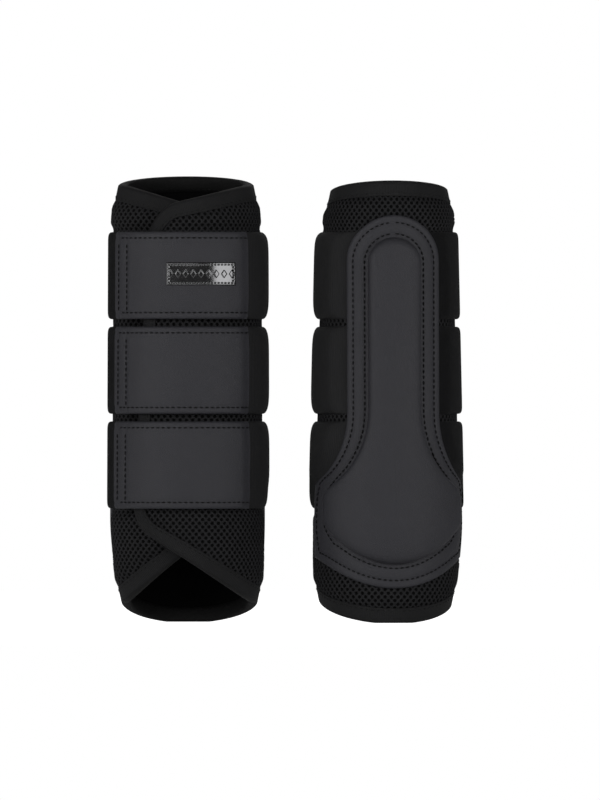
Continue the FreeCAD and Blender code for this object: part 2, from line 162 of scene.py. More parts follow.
def half_widths(boot, z):
    """The oval's half width and half depth at height z, which change evenly up the tube."""
    share = (z + SECTION_MARGIN) / (boot["height"] + 2 * SECTION_MARGIN)
    wide = boot["low"][0] + (boot["top"][0] - boot["low"][0]) * share
    deep = boot["low"][1] + (boot["top"][1] - boot["low"][1]) * share
    return wide, deep


def smooth(value, low, high):
    """0 below low and 1 above high, with a soft S between."""
    share = np.clip((value - low) / (high - low), 0, 1)
    return share * share * (3 - 2 * share)


def narrowing(boot, t, z):
    """How far the soft tube narrows past the straps: at the bottom by 2.6 mm, less on the fold
    side than on the landing side, and at the top by 1 mm, with 1.8 mm more at the fold."""
    foot = 0.0026 * (1 - smooth(z, 0.010, 0.062)) * (1 - 0.45 * np.cos(t))
    head = 0.0010 * smooth(z, boot["height"] - 0.030, boot["height"] - 0.008)
    fold_head = 0.0018 * smooth(z, 0.224, 0.234) * np.clip(np.cos(t), 0, 1)
    return foot + head + fold_head


def on_tube(boot, t, z, out):
    """Points on the boot and the outward directions there. At oval angle t, the place is
    (half width + out) cos t, (half depth + out) sin t, with out less by the narrowing. Past
    half a turn, on the inner flap, the half depth is less by the tuck. The boot is then
    turned and moved to its stand."""
    t, z, out = np.broadcast_arrays(np.asarray(t, float), np.asarray(z, float), out)
    out = out - narrowing(boot, t, z)
    wide, deep = half_widths(boot, z)
    deep = deep - np.where(t > math.pi, TUCK, 0.0)
    x, y = (wide + out) * np.cos(t), (deep + out) * np.sin(t)
    nx, ny = np.cos(t) / wide, np.sin(t) / deep
    size = np.hypot(nx, ny)
    nx, ny = nx / size, ny / size
    c, s = math.cos(boot["turn"]), math.sin(boot["turn"])
    place = np.stack([boot["x"] + x * c - y * s, x * s + y * c, z], -1)
    facing = np.stack([nx * c - ny * s, nx * s + ny * c, np.zeros_like(nx)], -1)
    return place, facing


def angle_table(boot):
    """Oval angles with the distance round the middle of the boot from the pad's centre."""
    t = np.linspace(-2.95, 4.9, 1800)
    place, _ = on_tube(boot, t, boot["height"] / 2, 0.0)
    step = np.linalg.norm(np.diff(place, axis=0), axis=1)
    step[step > 0.01] = 0.0
    s = np.concatenate([[0], np.cumsum(step)])
    return t, s - np.interp(math.pi / 2, t, s)


def distance_at(boot, t):
    table_t, table_s = angle_table(boot)
    return np.interp(t, table_t, table_s)


def angle_at(boot, s):
    table_t, table_s = angle_table(boot)
    return np.interp(s, table_s, table_t)


def angle_from_side(boot, degrees, z):
    """The oval angle of the ray at so many degrees from the boot's +X side."""
    wide, deep = half_widths(boot, z)
    ray = math.radians(degrees)
    turn = math.atan2(wide * math.sin(ray), deep * math.cos(ray))
    return turn + (2 * math.pi if degrees > 180 else 0.0)


def corner_arc(before, corner, after, radius, count):
    """Points along the arc that rounds a corner, from one tangent point to the other."""
    corner = np.array(corner)
    a = np.array(before) - corner
    b = np.array(after) - corner
    a, b = a / np.linalg.norm(a), b / np.linalg.norm(b)
    half = math.acos(np.clip(a @ b, -1, 1)) / 2
    centre = corner + (a + b) / np.linalg.norm(a + b) * radius / math.sin(half)
    start = corner + a * radius / math.tan(half) - centre
    end = corner + b * radius / math.tan(half) - centre
    turn = math.atan2(start[0] * end[1] - start[1] * end[0], start @ end)
    angles = np.linspace(0, turn, count)
    c, s = np.cos(angles), np.sin(angles)
    return centre + np.stack([c * start[0] - s * start[1], s * start[0] + c * start[1]], -1)


FLAPS = {
    "outer": {
        "sign": -1,
        "top_run": 0.0028,
        "top_drop": 0.019,
        "top_reach": -0.0215,
        "low_reach": -0.031,
        "low_height": 0.0556,
        "low_run": 0.0062,
    },
    "inner": {
        "sign": 1,
        "top_run": 0.0022,
        "top_drop": 0.0205,
        "top_reach": -0.014,
        "low_reach": -0.014,
        "low_height": 0.052,
        "low_run": 0.005,
    },
}
RUN_REACH = 0.056


def half_outline(boot, which):
    """The edge of one half of the panel, laid flat: distances round the boot from the pad's
    centre, and heights. It starts at the top of the pad side, runs down the flap's free edge
    and ends at the bottom of the pad side. Flap corners are seen from the flap's side."""
    flap = FLAPS[which]
    top = boot["height"]
    side_angle = np.linspace(math.pi / 2, 0, 40)
    depth = half_widths(boot, boot["height"] / 2)[1]
    share = np.sin(side_angle) * depth / boot["low"][1]
    shell_top = np.stack([side_angle, top - EDGE_DROP_TOP * (1 - share)], -1)
    shell_low = np.stack([side_angle, EDGE_RISE_LOW * (1 - share)], -1)
    far_top = (RUN_REACH, top - flap["top_run"])
    far_low = (RUN_REACH, flap["low_run"])
    high = (flap["top_reach"], top - flap["top_drop"])
    low = (flap["low_reach"], flap["low_height"])
    edge = np.concatenate(
        [
            [far_top],
            corner_arc(far_top, high, low, CORNER_RADIUS, 16),
            corner_arc(high, low, far_low, CORNER_RADIUS, 16),
            [far_low],
        ]
    )
    steps = np.linspace(0, 1, 25)[:, None]
    runs = [a + (b - a) * steps[:-1] for a, b in zip(edge[:-1], edge[1:])]
    edge = np.concatenate([*runs, edge[-1:]])
    wide = half_widths(boot, edge[:, 1])[0]
    edge, wide = edge[edge[:, 0] < wide], wide[edge[:, 0] < wide]
    flap_edge = np.stack([-np.arccos(edge[:, 0] / wide), edge[:, 1]], -1)
    whole = np.concatenate([shell_top, flap_edge, shell_low[::-1]])
    if which == "inner":
        whole[:, 0] = math.pi - whole[:, 0]
    whole[:, 0] = distance_at(boot, whole[:, 0])
    return evenly(whole, 0.0018)


def evenly(line, step):
    """The same line with points at even distances of about step."""
    length = np.linalg.norm(np.diff(line, axis=0), axis=1)
    line = line[np.concatenate([[True], length > 1e-7])]
    at = np.concatenate([[0], np.cumsum(np.linalg.norm(np.diff(line, axis=0), axis=1))])
    wanted = np.linspace(0, at[-1], max(int(at[-1] / step), 2))
    return np.stack([np.interp(wanted, at, line[:, k]) for k in range(line.shape[1])], -1)


def inside_by(points, line):
    """How far each flat point lies inside the outline: the distance to the nearest stretch of
    line, below zero where a ray from the point crosses the closed outline evenly."""
    a, b = line[:-1], line[1:]
    nearest = np.full(len(points), 1e9)
    for first, second in zip(a[::2], b[1::2]):
        run = second - first
        share = np.clip((points - first) @ run / (run @ run), 0, 1)
        nearest = np.minimum(nearest, np.linalg.norm(points - first - share[:, None] * run, axis=1))
    closed = np.concatenate([line, line[:1]])
    crossings = np.zeros(len(points), int)
    for first, second in zip(closed[:-1], closed[1:]):
        spans = (first[1] > points[:, 1]) != (second[1] > points[:, 1])
        if not spans.any():
            continue
        at = first[0] + (points[:, 1] - first[1]) * (second[0] - first[0]) / (second[1] - first[1])
        crossings += spans & (points[:, 0] < at)
    return np.where(crossings % 2 == 1, nearest, -nearest)


def thick_sheet(name, outer, inner, marks, finishes, keep=None, loop=False, sharp=50):
    """A closed solid between two grids of points, outer and inner. Cells where keep is false
    are left out, and walls close every open edge. marks are flat places for the pattern, kept
    as the UV map "cloth" in metres. finishes are the outer, inner and edge materials."""
    rows, columns = outer.shape[:2]
    index = np.arange(rows * columns).reshape(rows, columns)
    if loop:
        index = np.concatenate([index, index[:1]])
    cells = np.stack([index[:-1, :-1], index[1:, :-1], index[1:, 1:], index[:-1, 1:]], -1)
    kept = np.ones(cells.shape[:2], bool) if keep is None else keep
    beyond = np.zeros((kept.shape[0] + 2, kept.shape[1] + 2), bool)
    beyond[1:-1, 1:-1] = kept
    if loop:
        beyond[0, 1:-1], beyond[-1, 1:-1] = kept[-1], kept[0]
    shift = rows * columns
    walls = []
    neighbours = (
        (beyond[1:-1, :-2], 0, 1),
        (beyond[2:, 1:-1], 1, 2),
        (beyond[1:-1, 2:], 2, 3),
        (beyond[:-2, 1:-1], 3, 0),
    )
    for beside, first, second in neighbours:
        open_edge = kept & ~beside
        a, b = cells[open_edge][:, first], cells[open_edge][:, second]
        walls.append(np.stack([b, a, a + shift, b + shift], -1))
    walls = np.concatenate(walls)
    outside = cells[kept]
    faces = np.concatenate([outside, outside[:, ::-1] + shift, walls])
    kinds = np.repeat([0, 1, 2], [len(outside), len(outside), len(walls)])
    used, compact = np.unique(faces, return_inverse=True)
    faces = compact.reshape(faces.shape)
    points = np.concatenate([outer.reshape(-1, 3), inner.reshape(-1, 3)])[used]
    flat = np.concatenate([marks.reshape(-1, 2)] * 2)[used]
    made = new_piece(name, points, faces, sharp)
    cloth = made.data.uv_layers.new(name="cloth")
    corner_of = np.empty(len(made.data.loops), np.int32)
    made.data.loops.foreach_get("vertex_index", corner_of)
    cloth.data.foreach_set("uv", flat[corner_of].ravel())
    for finish in finishes:
        made.data.materials.append(finish)
    slots = np.minimum(kinds, len(finishes) - 1).astype(np.int32)
    made.data.polygons.foreach_set("material_index", slots)
    return made


def new_piece(name, points, faces, sharp=50):
    """A smooth-shaded object from arrays of points and four-cornered faces, facing out."""
    mesh = bpy.data.meshes.new(name)
    mesh.from_pydata(points.tolist(), [], faces.tolist())
    work = bmesh.new()
    work.from_mesh(mesh)
    bmesh.ops.recalc_face_normals(work, faces=work.faces)
    work.to_mesh(mesh)
    work.free()
    mesh.shade_smooth()
    mesh.set_sharp_from_angle(angle=math.radians(sharp))
    made = bpy.data.objects.new(name, mesh)
    scene.collection.objects.link(made)
    return made


def group(name, inputs, outputs):
    """An empty shader node group with named number, colour or vector inputs and outputs."""
    made = bpy.data.node_groups.new(name, "ShaderNodeTree")
    kinds = {"number": "NodeSocketFloat", "colour": "NodeSocketColor", "vector": "NodeSocketVector"}
    for label, kind, value in inputs:
        socket = made.interface.new_socket(name=label, in_out="INPUT", socket_type=kinds[kind])
        if value is not None:
            socket.default_value = value
    for label, kind in outputs:
        made.interface.new_socket(name=label, in_out="OUTPUT", socket_type=kinds[kind])
    entry = made.nodes.new("NodeGroupInput")
    leave = made.nodes.new("NodeGroupOutput")
    return made, entry, leave


def add(tree, kind, **settings):
    """A node in a tree. Settings named in_0, in_1 and so on fill its inputs in order, either
    with a value or with another node's output. The other settings are the node's own."""
    made = tree.nodes.new(kind)
    for key, value in settings.items():
        if not key.startswith("in_"):
            setattr(made, key, value)
    for key, value in settings.items():
        if key.startswith("in_"):
            socket = made.inputs[int(key[3:])]
            if isinstance(value, bpy.types.NodeSocket):
                tree.links.new(value, socket)
            else:
                socket.default_value = value
    return made


def calc(tree, operation, *values):
    """A Math node's output."""
    settings = {f"in_{k}": value for k, value in enumerate(values)}
    return add(tree, "ShaderNodeMath", operation=operation, **settings).outputs[0]


def air_mesh_group():
    """Holes of the air mesh. Two lattices of oval holes, one set half a pitch across and half
    a row pair up from the other: the hole mask is 1 where the nearer centre is close."""
    tree, entry, leave = group(
        "air_mesh_holes",
        [("Place", "vector", None), ("Pitch", "number", 0.00375), ("Pair", "number", 0.0043)],
        [("Hole", "number"), ("Threads", "number")],
    )
    parts = add(tree, "ShaderNodeSeparateXYZ", in_0=entry.outputs["Place"])
    across = calc(tree, "DIVIDE", parts.outputs["X"], entry.outputs["Pitch"])
    up = calc(tree, "DIVIDE", parts.outputs["Y"], entry.outputs["Pair"])
    nearest = None
    for shift in (0.0, 0.5):
        u = calc(tree, "PINGPONG", calc(tree, "ADD", across, shift), 0.5)
        v = calc(tree, "PINGPONG", calc(tree, "ADD", up, shift), 0.5)
        u = calc(tree, "POWER", calc(tree, "MULTIPLY", u, 3.35), 1.7)
        v = calc(tree, "POWER", calc(tree, "MULTIPLY", v, 3.95), 1.7)
        size = calc(tree, "ADD", u, v)
        nearest = size if nearest is None else calc(tree, "MINIMUM", nearest, size)
    hole = add(tree, "ShaderNodeMapRange", interpolation_type="SMOOTHSTEP", in_0=nearest)
    for slot, value in ((1, 0.55), (2, 1.15), (3, 1.0), (4, 0.0)):
        hole.inputs[slot].default_value = value
    wales = calc(tree, "SINE", calc(tree, "MULTIPLY", parts.outputs["X"], 9500.0))
    courses = calc(tree, "SINE", calc(tree, "MULTIPLY", parts.outputs["Y"], 11500.0))
    tree.links.new(hole.outputs[0], leave.inputs["Hole"])
    tree.links.new(calc(tree, "MULTIPLY", wales, courses), leave.inputs["Threads"])
    return tree


def ribs_group():
    """Woven ribs: ridges across the tape at one spacing, broken by finer ones along it."""
    tree, entry, leave = group(
        "woven_ribs",
        [("Place", "vector", None), ("Across", "number", 0.001), ("Along", "number", 0.0006)],
        [("Height", "number")],
    )
    parts = add(tree, "ShaderNodeSeparateXYZ", in_0=entry.outputs["Place"])
    across = calc(tree, "DIVIDE", parts.outputs["X"], entry.outputs["Across"])
    across = calc(tree, "PINGPONG", across, 0.5)
    along = calc(tree, "DIVIDE", parts.outputs["Y"], entry.outputs["Along"])
    along = calc(tree, "PINGPONG", calc(tree, "ADD", along, across), 0.5)
    height = calc(tree, "ADD", across, calc(tree, "MULTIPLY", along, 0.7))
    tree.links.new(height, leave.inputs["Height"])
    return tree


def uneven_group():
    """Slow cloudy variation and fine dust, from object coordinates."""
    tree, entry, leave = group(
        "uneven",
        [("Place", "vector", None), ("Size", "number", 30.0), ("Dust", "number", 900.0)],
        [("Cloud", "number"), ("Fine", "number")],
    )
    cloud = add(tree, "ShaderNodeTexNoise", in_0=entry.outputs["Place"])
    tree.links.new(entry.outputs["Size"], cloud.inputs["Scale"])
    fine = add(tree, "ShaderNodeTexNoise", in_0=entry.outputs["Place"])
    tree.links.new(entry.outputs["Dust"], fine.inputs["Scale"])
    tree.links.new(cloud.outputs[0], leave.inputs["Cloud"])
    tree.links.new(fine.outputs[0], leave.inputs["Fine"])
    return tree


AIR_MESH = air_mesh_group()
RIBS = ribs_group()
UNEVEN = uneven_group()


def blank_material(name, roughness, sheen=0.0, specular=0.5):
    """A material with its Principled shader, a UV Map node on "cloth" and object places."""
    made = bpy.data.materials.new(name)
    made.use_nodes = True
    tree = made.node_tree
    shader = tree.nodes["Principled BSDF"]
    shader.inputs["Roughness"].default_value = roughness
    shader.inputs["Sheen Weight"].default_value = sheen
    shader.inputs["Sheen Roughness"].default_value = 0.5
    shader.inputs["Specular IOR Level"].default_value = specular
    flat = add(tree, "ShaderNodeUVMap", uv_map="cloth").outputs[0]
    place = add(tree, "ShaderNodeTexCoord").outputs["Object"]
    return made, tree, shader, flat, place


def use_group(tree, shared, **links):
    """A shared group placed in a material, with values or outputs for its named inputs."""
    made = tree.nodes.new("ShaderNodeGroup")
    made.node_tree = shared
    for label, value in links.items():
        if isinstance(value, bpy.types.NodeSocket):
            tree.links.new(value, made.inputs[label])
        else:
            made.inputs[label].default_value = value
    return made


def tint(tree, mask, low, high):
    """A colour between low and high by a mask. Each is a colour or another node's output."""
    made = add(tree, "ShaderNodeMix", data_type="RGBA")
    tree.links.new(mask, made.inputs["Factor"])
    for label, value in (("A", low), ("B", high)):
        if isinstance(value, bpy.types.NodeSocket):
            tree.links.new(value, made.inputs[label])
        else:
            made.inputs[label].default_value = (*value, 1)
    return made.outputs["Result"]


def spread(tree, mask, low, high):
    """A number between low and high by a mask."""
    return add(tree, "ShaderNodeMapRange", in_0=mask, in_3=low, in_4=high).outputs[0]


def bump(tree, height, shader, distance, strength=1.0):
    """Bump of so many metres from a height mask."""
    made = add(tree, "ShaderNodeBump")
    made.inputs["Strength"].default_value = strength
    made.inputs["Distance"].default_value = distance
    tree.links.new(height, made.inputs["Height"])
    tree.links.new(made.outputs[0], shader.inputs["Normal"])


def air_mesh_material():
    made, tree, shader, flat, place = blank_material("air_mesh", 0.6, specular=0.22)
    holes = use_group(tree, AIR_MESH, Place=flat)
    cloud = use_group(tree, UNEVEN, Place=place, Size=45.0, Dust=1400.0)
    thread = tint(tree, cloud.outputs["Cloud"], (0.0085, 0.0085, 0.0095), (0.0145, 0.0145, 0.016))
    # Painted shade: the holes are coloured near black for the shade inside them, darker than the
    # shallow pits make them.
    colour = tint(tree, holes.outputs["Hole"], thread, (0.0003, 0.0003, 0.0004))
    tree.links.new(colour, shader.inputs["Base Color"])
    rough = spread(tree, holes.outputs["Hole"], 0.6, 1.0)
    tree.links.new(rough, shader.inputs["Roughness"])
    solid = calc(tree, "SUBTRACT", 1.0, holes.outputs["Hole"])
    height = calc(tree, "ADD", solid, calc(tree, "MULTIPLY", holes.outputs["Threads"], 0.18))
    height = calc(tree, "ADD", height, calc(tree, "MULTIPLY", cloud.outputs["Fine"], 0.25))
    bump(tree, height, shader, 0.0004, 0.8)
    return made


def lining_material():
    made, tree, shader, flat, place = blank_material("lining", 0.9, specular=0.08)
    ribs = use_group(tree, RIBS, Place=flat, Across=0.0009, Along=0.0009)
    cloud = use_group(tree, UNEVEN, Place=place, Size=25.0, Dust=1200.0)
    colour = tint(tree, cloud.outputs["Cloud"], (0.0015, 0.0015, 0.0017), (0.003, 0.003, 0.0033))
    tree.links.new(colour, shader.inputs["Base Color"])
    height = calc(tree, "ADD", ribs.outputs["Height"], cloud.outputs["Fine"])
    bump(tree, height, shader, 0.00025, 0.6)
    return made


AIR_MESH_FINISH = air_mesh_material()
LINING_FINISH = lining_material()


PAD_OUTLINES = {
    "flange": {
        "half": 0.0265,
        "top": 0.238,
        "flare": 0.122,
        "hollow": 0.062,
        "side": 0.052,
        "low_side": 0.0495,
        "bottom": 0.020,
    },
    "raised": {
        "half": 0.0148,
        "top": 0.225,
        "flare": 0.124,
        "hollow": 0.062,
        "side": 0.0368,
        "low_side": 0.057,
        "bottom": 0.034,
    },
}
PAD_SIDE_CLEAR = 0.0035


def pad_outline(boot, kind):
    """Half widths and heights round the pad: a quarter circle from the top's middle, a
    straight side, a hollow arc out to the foot, its side, and an arc to the bottom's middle.
    The raised part's corners are evened out twice. The outline stops short of the folds and
    is then laid flat: the distance round from the pad's centre, and the height."""
    size = PAD_OUTLINES[kind]
    half, side, flare = size["half"], size["side"], size["flare"]
    turn = np.linspace(0, math.pi / 2, 14)
    dome = np.stack([half * np.sin(turn), size["top"] - half + half * np.cos(turn)], -1)
    run = np.linspace(0, 1, 22)[1:-1, None]
    column = dome[-1] + (np.array([half, flare]) - dome[-1]) * run
    last = math.acos((half + size["hollow"] - side) / size["hollow"])
    turn = np.linspace(0, last, 16)
    hollow = np.stack(
        [half + size["hollow"] * (1 - np.cos(turn)), flare - size["hollow"] * np.sin(turn)], -1
    )
    run = np.linspace(0, 1, 7)[1:-1, None]
    foot = hollow[-1] + (np.array([side, size["low_side"]]) - hollow[-1]) * run
    sag = size["low_side"] - size["bottom"]
    radius = (side**2 + sag**2) / (2 * sag)
    last = math.asin(side / radius)
    turn = np.linspace(last, 0, 26)
    under = np.stack(
        [radius * np.sin(turn), size["bottom"] + radius * (1 - np.cos(turn))], -1
    )
    right = np.concatenate([dome, column, hollow, foot, under])
    for _ in range(2 if kind == "raised" else 0):
        right[30:-8] = (right[29:-9] + right[30:-8] * 2 + right[31:-7]) / 4
    wide, deep = half_widths(boot, right[:, 1])
    limit = wide * np.sqrt(1 - (PAD_SIDE_CLEAR / deep) ** 2)
    x = np.minimum(right[:, 0], limit)
    flat = np.stack([-distance_at(boot, np.arccos(x / wide)), right[:, 1]], -1)
    other = flat[-2:0:-1] * [-1, 1]
    return np.concatenate([flat, other])


STRAP_WIDTH = 0.051
STRAP_LOW_CENTRE = 0.092
STRAP_PITCH = 0.0554
STRAP_NAMES = ("bottom", "middle", "top")


def drawn_in(boot, z, depth):
    """How far the sewn edges lean in, as a distance below zero: 2.2 mm at the edge, fading out
    13 mm inside it, and only near the boot's two ends, as the straps hold the middle."""
    near_top = smooth(z, boot["height"] - 0.045, boot["height"] - 0.025)
    near_low = 1 - smooth(z, 0.045, 0.065)
    return -EDGE_LEAN * (near_top + near_low) * (1 - smooth(depth, -0.001, 0.013))


def free_swell(boot, s, z, depth):
    """Where the foam stands up: 1 away from the binding, the straps and the strike pad."""
    places = np.stack([s.ravel(), z.ravel()], -1)
    past_pad = -inside_by(places, pad_outline(boot, "flange")).reshape(s.shape)
    above = STRAP_LOW_CENTRE + 2 * STRAP_PITCH + STRAP_WIDTH / 2
    below = STRAP_LOW_CENTRE - STRAP_WIDTH / 2
    past_straps = smooth(z, above + 0.001, above + 0.006) + smooth(-z, 0.001 - below, 0.007 - below)
    return smooth(depth, 0.005, 0.013) * past_straps * smooth(past_pad, -0.001, 0.006)


def bend_at_fold(piece):
    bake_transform(piece)


def panel_half(side, which):
    """Knitted face: the tube's surface on a grid of a quarter hole pitch by half a row. A pit
    is pressed in at every hole, deepest in its middle. The face swells by up to 1.3 mm where
    the foam is free, with slow waves of a third of a millimetre, and leans in at the ends."""
    boot = BOOTS[side]
    line = half_outline(boot, which)
    across, up = HOLE_PITCH / 4, HOLE_ROW / 2
    count = int(math.ceil(np.abs(line[:, 0]).max() / across)) + 1
    sign = FLAPS[which]["sign"]
    i = np.arange(count)
    j = np.arange(int(boot["height"] / up) + 2)
    s, z = np.meshgrid(i * across * sign, j * up, indexing="ij")
    just_inside = np.where(s == 0, sign * 1e-5, s)
    depth = inside_by(np.stack([just_inside.ravel(), z.ravel()], -1), line).reshape(s.shape)
    keep_depth = np.minimum.reduce(
        [depth[:-1, :-1], depth[1:, :-1], depth[:-1, 1:], depth[1:, 1:]]
    )
    seam_cells = np.zeros_like(keep_depth, bool)
    seam_cells[0] = (z[0, :-1] > 0.004) & (z[0, :-1] < boot["height"] - 0.005)
    keep = (keep_depth > 0.0012) | seam_cells
    swell = free_swell(boot, s, z, depth)
    ii, jj = np.meshgrid(i, j, indexing="ij")
    pit = np.zeros(s.shape)
    for shift in (0, 2):
        a, b = (ii + shift) % 4, (jj + shift) % 4
        pit = np.maximum(pit, ((a == 0) & (b == 0)) * 1.0)
        pit = np.maximum(pit, (((a == 1) | (a == 3)) & (b == 0)) * 0.5)
        pit = np.maximum(pit, ((a == 0) & ((b == 1) | (b == 3))) * 0.42)
    t = angle_at(boot, s)
    waves = SWELL_WAVES * np.sin(s * 140 + z * 60) * np.sin(z * 95 + 1.3)
    lean = drawn_in(boot, z, depth)
    face = (SWELL_HEIGHT + waves) * swell - HOLE_DEPTH * pit + lean
    outer, _ = on_tube(boot, t, z, face)
    inner, _ = on_tube(boot, t, z, lean - PANEL_THICK)
    marks = np.stack([s, z], -1)
    name = f"{side}_panel_{which}"
    made = thick_sheet(name, outer, inner, marks, [AIR_MESH_FINISH, LINING_FINISH], keep)
    layers = ("mesh", "foam", "lining")
    flap_nodes = [f"{side}_{which}_flap_{layer}" for layer in layers]
    shell_nodes = [f"{side}_shell_{layer}" for layer in layers]
    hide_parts(*flap_nodes, *shell_nodes)
    bend_at_fold(made)
    return line


OUTLINES = {}
for side in BOOTS:
    for which in FLAPS:
        OUTLINES[side, which] = panel_half(side, which)

# ------------------------------------------------------------------ edge binding
# A ribbed woven tape folded over every edge of the panel and sewn through with black thread.
# It runs from the pad's centre along the top, down the flap's free edge and back.

BINDING_WIDTH = 0.0075
BINDING_THICK = 0.0005


def painted_rib_shade(tree, base, height, amount, dark):
    """The base colour times a grey that goes from dark between the ribs to 1.2 on them: painted shade
    in the grooves and painted light on the rib tops.
    """
    made = add(tree, "ShaderNodeMix", data_type="RGBA", blend_type="MULTIPLY")
    made.inputs["Factor"].default_value = amount
    tree.links.new(base, made.inputs["A"])
    tree.links.new(tint(tree, height, (dark,) * 3, (1.2,) * 3), made.inputs["B"])
    return made.outputs["Result"]


def binding_material():
    """Ribbed tape. The half that lies on the lining is painted blacker than the outer half: painted
    shade inside the boot.
    """
    made, tree, shader, flat, place = blank_material("binding_tape", 0.65, specular=0.25)
    ribs = use_group(tree, RIBS, Place=flat, Across=0.00105, Along=0.0008)
    cloud = use_group(tree, UNEVEN, Place=place, Size=60.0, Dust=1500.0)
    base = tint(tree, cloud.outputs["Cloud"], (0.0052, 0.0052, 0.0057), (0.0085, 0.0085, 0.0093))
    across = add(tree, "ShaderNodeSeparateXYZ", in_0=flat).outputs["Y"]
    # Painted shade: the inner half of the tape, which faces into the boot, is darkened to near black.
    shaded_inner_half = add(tree, "ShaderNodeMapRange", in_0=across, in_1=0.0080, in_2=0.0105)
    base = tint(tree, shaded_inner_half.outputs[0], base, (0.0012, 0.0012, 0.0013))
    # Painted shade between the ribs and painted light on the rib tops.
    colour = painted_rib_shade(tree, base, ribs.outputs["Height"], 0.45, 0.45)
    tree.links.new(colour, shader.inputs["Base Color"])
    dust = calc(tree, "MULTIPLY", cloud.outputs["Fine"], 0.3)
    bump(tree, calc(tree, "ADD", ribs.outputs["Height"], dust), shader, 0.00028, 0.9)
    return made


def thread_material():
    made, tree, shader, flat, place = blank_material("black_thread", 0.55, specular=0.2)
    cloud = use_group(tree, UNEVEN, Place=place, Size=120.0, Dust=2600.0)
    colour = tint(tree, cloud.outputs["Cloud"], (0.0015, 0.0015, 0.0017), (0.003, 0.003, 0.0033))
    tree.links.new(colour, shader.inputs["Base Color"])
    bump(tree, cloud.outputs["Fine"], shader, 0.0001, 0.7)
    return made


BINDING_FINISH = binding_material()
THREAD_FINISH = thread_material()


def tape_profile(thickness_in):
    """The folded tape's section as (distance in from the edge, height out): along the face,
    half a circle round the panel's edge and back along the lining, moved in by a thickness."""
    low, high = -PANEL_THICK - 0.0006, 0.0007
    middle, radius = (low + high) / 2, (high - low) / 2
    face_in = np.array([1.0, 0.97, 0.8, 0.55, 0.3, 0.1]) * BINDING_WIDTH
    face_out = high - np.array([0.00045, 0.0001, -0.00005, -0.0001, -0.0001, 0.0])
    turn = np.linspace(90, -90, 9)[1:-1]
    bow_in = -np.cos(np.radians(turn)) * radius * 0.55
    bow_out = middle + np.sin(np.radians(turn)) * radius
    back_in = face_in[::-1]
    back_out = 2 * middle - face_out[::-1]
    points = np.stack(
        [np.concatenate([face_in, bow_in, back_in]), np.concatenate([face_out, bow_out, back_out])],
        -1,
    )
    if thickness_in == 0:
        return points
    run = np.gradient(points, axis=0)
    normal = np.stack([-run[:, 1], run[:, 0]], -1)
    normal /= np.linalg.norm(normal, axis=1)[:, None]
    return points + normal * thickness_in


def line_frame(line):
    """Directions along a flat line and across it, towards the inside of the outline."""
    run = np.gradient(line, axis=0)
    run /= np.linalg.norm(run, axis=1)[:, None]
    across = np.stack([-run[:, 1], run[:, 0]], -1)
    middle = line.mean(axis=0)
    if ((middle - line) * across).sum() < 0:
        across = -across
    return run, across


def pinned_at_seam(flat, line):
    """Keeps the first and last sections on the seam under the pad."""
    flat[0, ..., 0] = line[0, 0]
    flat[-1, ..., 0] = line[-1, 0]
    return flat


def sewn_edge(side, which):
    """The tape's section carried along the half panel's outline on the tube's surface."""
    boot, line = BOOTS[side], OUTLINES[side, which]
    _, across = line_frame(line)
    grids = []
    for thickness in (0, BINDING_THICK):
        profile = tape_profile(thickness)
        flat = line[:, None] + across[:, None] * profile[None, :, :1]
        flat = pinned_at_seam(flat, line)
        out = profile[None, :, 1] + drawn_in(boot, flat[..., 1], profile[None, :, 0])
        grids.append(on_tube(boot, angle_at(boot, flat[..., 0]), flat[..., 1], out)[0])
    gone = np.concatenate([[0], np.cumsum(np.linalg.norm(np.diff(line, axis=0), axis=1))])
    profile = tape_profile(0)
    wide = np.concatenate([[0], np.cumsum(np.linalg.norm(np.diff(profile, axis=0), axis=1))])
    marks = np.stack(np.meshgrid(gone, wide, indexing="ij"), -1)
    made = thick_sheet(f"{side}_binding_{which}", grids[0], grids[1], marks, [BINDING_FINISH])
    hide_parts(f"{side}_{which}_flap_binding", f"{side}_shell_binding")
    bend_at_fold(made)
    return made


STITCH_PITCH = 0.0033
STITCH_LONG = 0.0023
STITCH_WIDE = 0.00095
BINDING_ROW_INSET = 0.0058


def stitches(name, lines, wide=STITCH_WIDE, sink=0.0):
    """Short thread humps along each line of (points, outward directions). Each one is a bent
    spindle of five rings of five points. A ring's size follows the root of 1 less the square
    of its place along the thread, and the ends are sunk as thread is where it enters cloth."""
    along = np.array([-1.0, -0.75, 0.0, 0.75, 1.0])[:, None]
    around = np.linspace(0, 2 * math.pi, 6)[:5]
    radius = np.sqrt(np.clip(1 - along**2, 0.03, 1)) * wide / 2
    rise = 0.00012 + 0.00022 * (1 - along**2) - sink
    spindle = np.stack(
        [
            along * STITCH_LONG / 2 + 0 * around,
            np.cos(around) * radius,
            np.sin(around) * radius + rise,
        ],
        -1,
    ).reshape(-1, 3)
    index = np.arange(25).reshape(5, 5)
    low, high = index[:-1], index[1:]
    quads = [low, np.roll(low, -1, axis=1), np.roll(high, -1, axis=1), high]
    quads = np.stack(quads, -1).reshape(-1, 4)
    points, faces, base = [], [], 0
    for places, facing in lines:
        gone = np.concatenate([[0], np.cumsum(np.linalg.norm(np.diff(places, axis=0), axis=1))])
        wanted = np.arange(STITCH_PITCH / 2, gone[-1] - STITCH_PITCH / 3, STITCH_PITCH)
        centre = sampled(places, gone, wanted)
        run = unit(sampled(np.gradient(places, axis=0), gone, wanted))
        up = unit(sampled(facing, gone, wanted))
        directions = np.stack([run, np.cross(run, up), up], 1)
        points.append((centre[:, None] + spindle @ directions).reshape(-1, 3))
        starts = base + np.arange(len(centre))[:, None, None] * len(spindle)
        faces.append((quads[None] + starts).reshape(-1, 4))
        base += len(centre) * len(spindle)
    made = new_piece(name, np.concatenate(points), np.concatenate(faces), sharp=80)
    cap_ends(made)
    made.data.materials.append(THREAD_FINISH)
    return made


